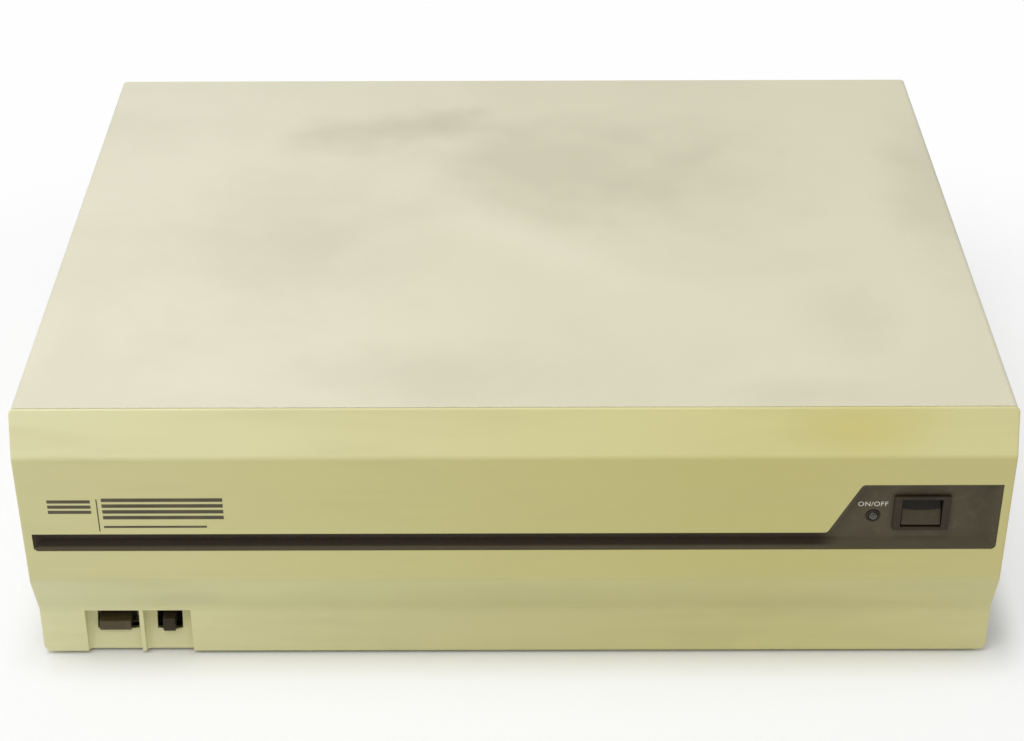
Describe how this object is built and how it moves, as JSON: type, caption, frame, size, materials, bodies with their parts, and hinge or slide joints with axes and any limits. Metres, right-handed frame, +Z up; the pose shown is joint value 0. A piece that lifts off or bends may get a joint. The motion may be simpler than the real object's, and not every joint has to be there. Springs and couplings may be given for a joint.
{
  "type": "home computer",
  "caption": "Desktop home computer main unit: steel cover, moulded front with a flared dark stripe, power rocker, reset button and socket bays.",
  "frame": {"origin": "on the floor under the middle of the case", "axes": "+X to the right seen from the front, -Y towards the front, +Z up"},
  "size_m": [0.5024, 0.402, 0.16],
  "materials": {
    "cover_paint": "satin, lightly scuffed",
    "rear_paint": "satin",
    "bezel_plastic": "matt, yellowed with age",
    "brown_plastic": "satin",
    "black_plastic": "satin",
    "pale_plastic": "satin",
    "socket_plastic": "satin",
    "light_lens": "clear, unlit",
    "circuit_board": "satin",
    "supply_board": "satin",
    "chip_plastic": "matt",
    "contact_brass": "bright",
    "plated_steel": "zinc plated",
    "screw_steel": "bright plated",
    "port_shell": "tin plated",
    "foot_rubber": "matt",
    "battery_wrap": "shrink wrap",
    "capacitor_wrap": "shrink wrap",
    "wire_jacket": "matt",
    "core_iron": "varnished",
    "sink_aluminium": "plain",
    "magnet_ferrite": "matt"
  },
  "bodies": {
    "case": {"backplane_board": "circuit_board", "backup_battery": "battery_wrap", "base_chassis": "plated_steel", "board_posts": "contact_brass", "card_cage": "plated_steel", "card_guides": "black_plastic", "case_screws": "screw_steel", "clock_crystal": "screw_steel", "fan_frame": "black_plastic", "fan_guard": "plated_steel", "fan_screws": "screw_steel", "front_bezel": "bezel_plastic", "front_board": "circuit_board", "front_trim_panel": "brown_plastic", "inlet_pins": "contact_brass", "jack_posts": "screw_steel", "keyboard_contacts": "contact_brass", "keyboard_socket": "brown_plastic", "light_holder": "black_plastic", "logic_chips": "chip_plastic", "main_board": "circuit_board", "memory_chips": "chip_plastic", "power_harness": "wire_jacket", "power_header": "pale_plastic", "power_inlet": "black_plastic", "power_light": "light_lens", "power_switch_body": "black_plastic", "power_switch_frame": "black_plastic", "printer_port": "port_shell", "processor": "chip_plastic", "psu_board": "supply_board", "psu_capacitors": "capacitor_wrap", "psu_case": "plated_steel", "psu_cover": "plated_steel", "psu_heat_sink": "sink_aluminium", "psu_transformer": "core_iron", "rear_panel": "rear_paint", "reset_switch_body": "black_plastic", "rom_chips": "chip_plastic", "rubber_feet": "foot_rubber", "serial_port": "port_shell", "slot_cover_1": "rear_paint", "slot_cover_2": "rear_paint", "slot_cover_3": "rear_paint", "slot_cover_4": "rear_paint", "slot_cover_5": "rear_paint", "slot_cover_6": "rear_paint", "slot_sockets": "socket_plastic", "slot_thumb_screws": "screw_steel", "speaker_frame": "plated_steel", "speaker_magnet": "magnet_ferrite", "switch_terminals": "contact_brass", "top_cover": "cover_paint", "video_ports": "port_shell"},
    "power_rocker": {"power_rocker": "brown_plastic"},
    "reset_button": {"reset_button": "brown_plastic"},
    "fan_rotor": {"fan_rotor": "black_plastic"}
  },
  "joints": [
    {"name": "power_rock", "type": "hinge", "parent": "case", "child": "power_rocker", "pos_m": [0.2058, -0.19293, 0.09964], "axis": [1, 0, 0], "range_deg": [0, 22]},
    {"name": "reset_press", "type": "slide", "parent": "case", "child": "reset_button", "axis": [0, 1, 0], "range_m": [0, 0.002], "stiffness_N_per_m": 400},
    {"name": "fan_spin", "type": "hinge", "parent": "case", "child": "fan_rotor", "pos_m": [0.176, 0.1748, 0.09187], "axis": [0, 1, 0], "continuous": true}
  ]
}
